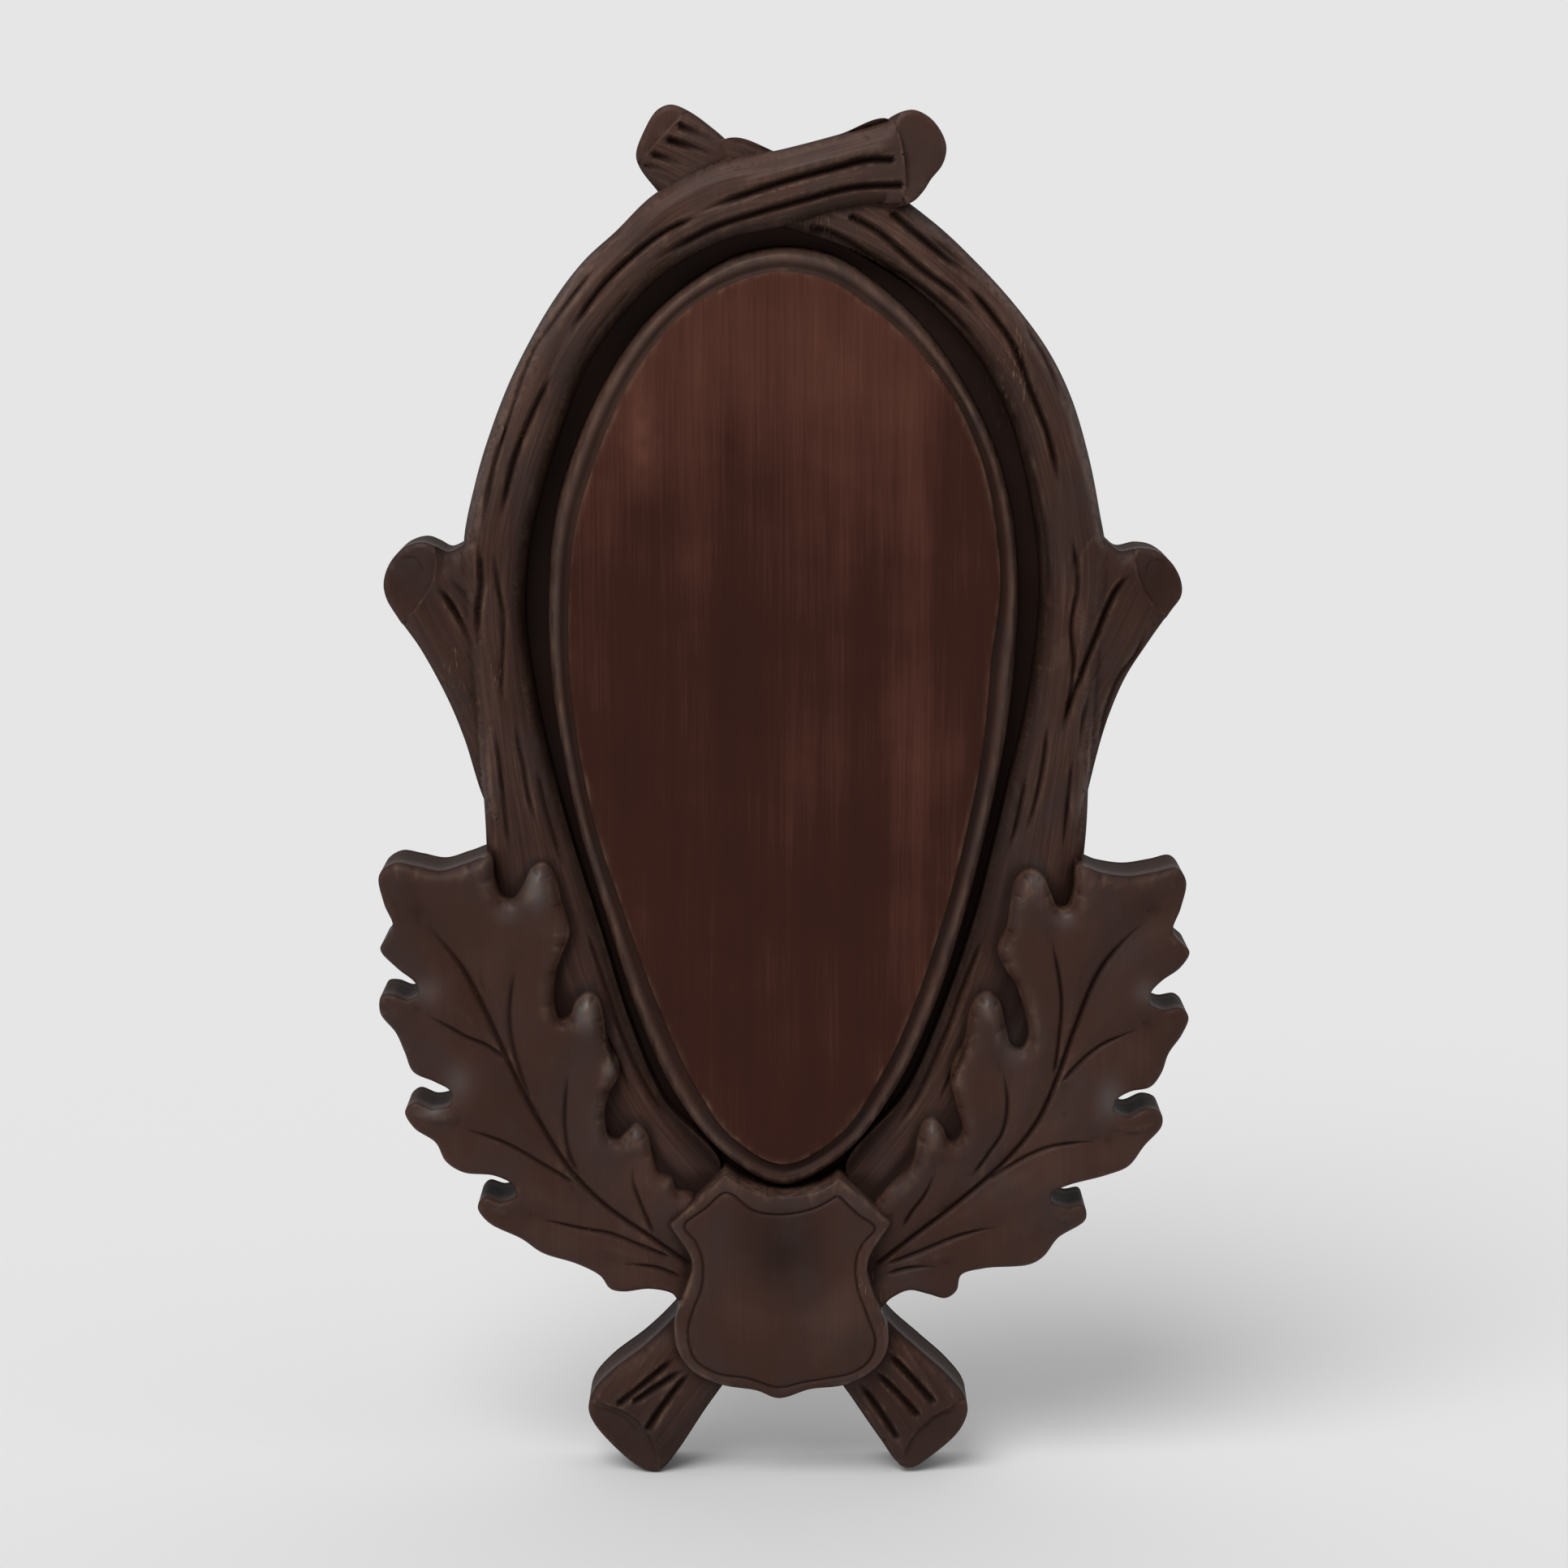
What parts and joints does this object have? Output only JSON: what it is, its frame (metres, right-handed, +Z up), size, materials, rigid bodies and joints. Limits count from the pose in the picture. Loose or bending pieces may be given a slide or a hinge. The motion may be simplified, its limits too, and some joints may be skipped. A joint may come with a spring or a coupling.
{
  "type": "antler trophy plaque",
  "caption": "Carved wooden wall plaque for mounting small antlers: egg-shaped field framed by crossed branches, oak leaves and a small heraldic shield.",
  "frame": {"origin": "on the flat back, at the middle of the plaque, where it lies on the wall", "axes": "+Z up the plaque, -Y out of the carved front, +X to the right seen from the front"},
  "size_m": [0.1792, 0.022, 0.3044],
  "materials": {
    "stained_wood": "dark walnut stain, satin"
  },
  "bodies": {
    "root": {"carved_plaque": "stained_wood"}
  },
  "joints": []
}
